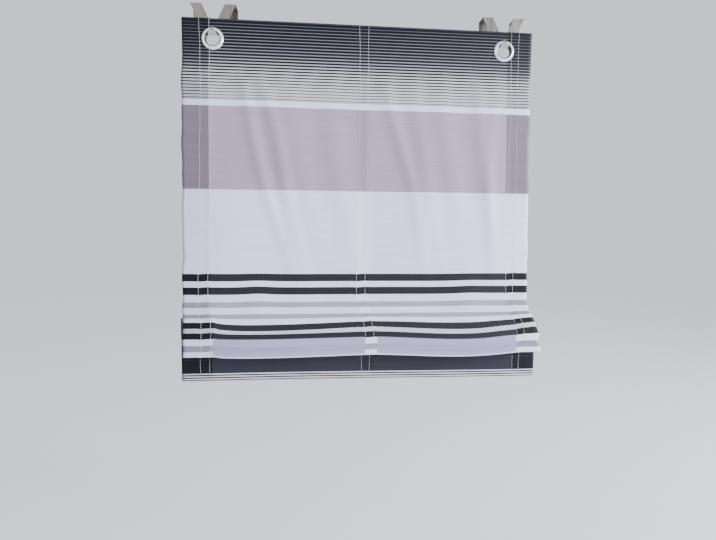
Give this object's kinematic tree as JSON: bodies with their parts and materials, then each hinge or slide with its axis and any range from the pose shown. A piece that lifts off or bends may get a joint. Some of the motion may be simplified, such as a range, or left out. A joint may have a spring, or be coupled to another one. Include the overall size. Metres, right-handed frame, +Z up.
{
  "type": "roman blind",
  "caption": "Cloth roman blind drawn up into folds, hung by eyelets on two sash hooks, with rear gathering tapes, lift cords and spring cord stoppers.",
  "frame": {"origin": "on the window sash's top edge at the sash's front face, midway between the two hooks", "axes": "+Z up, the printed face looks along -Y into the room, +X to the right seen from the room"},
  "size_m": [0.6, 0.0832, 0.633],
  "materials": {
    "cloth": "plain polyester, printed",
    "tape": "woven tape",
    "cord": "braided",
    "ring_plastic": "clear white",
    "stopper_plastic": "moulded",
    "spring_steel": "drawn wire",
    "eyelet_metal": "polished nickel",
    "hook_steel": "bright zinc",
    "bar_metal": "mill finish",
    "stiffener_plastic": "plain"
  },
  "bodies": {
    "blind": {"fabric_panel": "cloth", "top_stiffener": "stiffener_plastic", "weight_bar": "bar_metal", "gathering_tape_left": "tape", "cord_rings_left": "ring_plastic", "lift_cord_left": "cord", "stopper_barrel_left": "stopper_plastic", "stopper_spring_left": "spring_steel", "gathering_tape_centre": "tape", "cord_rings_centre": "ring_plastic", "lift_cord_centre": "cord", "stopper_barrel_centre": "stopper_plastic", "stopper_spring_centre": "spring_steel", "gathering_tape_right": "tape", "cord_rings_right": "ring_plastic", "lift_cord_right": "cord", "stopper_barrel_right": "stopper_plastic", "stopper_spring_right": "spring_steel", "eyelet_front_left": "eyelet_metal", "eyelet_washer_left": "eyelet_metal", "sash_hook_left": "hook_steel", "eyelet_front_right": "eyelet_metal", "eyelet_washer_right": "eyelet_metal", "sash_hook_right": "hook_steel"},
    "plunger_left": {"stopper_plunger_left": "stopper_plastic"},
    "plunger_centre": {"stopper_plunger_centre": "stopper_plastic"},
    "plunger_right": {"stopper_plunger_right": "stopper_plastic"}
  },
  "joints": [
    {"name": "press_left", "type": "slide", "parent": "blind", "child": "plunger_left", "axis": [1, 0, 0], "range_m": [-0.003, 0], "stiffness_N_per_m": 300, "springref_m": 0.002, "deforming": ["stopper_spring_left"]},
    {"name": "press_centre", "type": "slide", "parent": "blind", "child": "plunger_centre", "axis": [1, 0, 0], "range_m": [-0.003, 0], "stiffness_N_per_m": 300, "springref_m": 0.002, "deforming": ["stopper_spring_centre"]},
    {"name": "press_right", "type": "slide", "parent": "blind", "child": "plunger_right", "axis": [1, 0, 0], "range_m": [-0.003, 0], "stiffness_N_per_m": 300, "springref_m": 0.002, "deforming": ["stopper_spring_right"]}
  ]
}
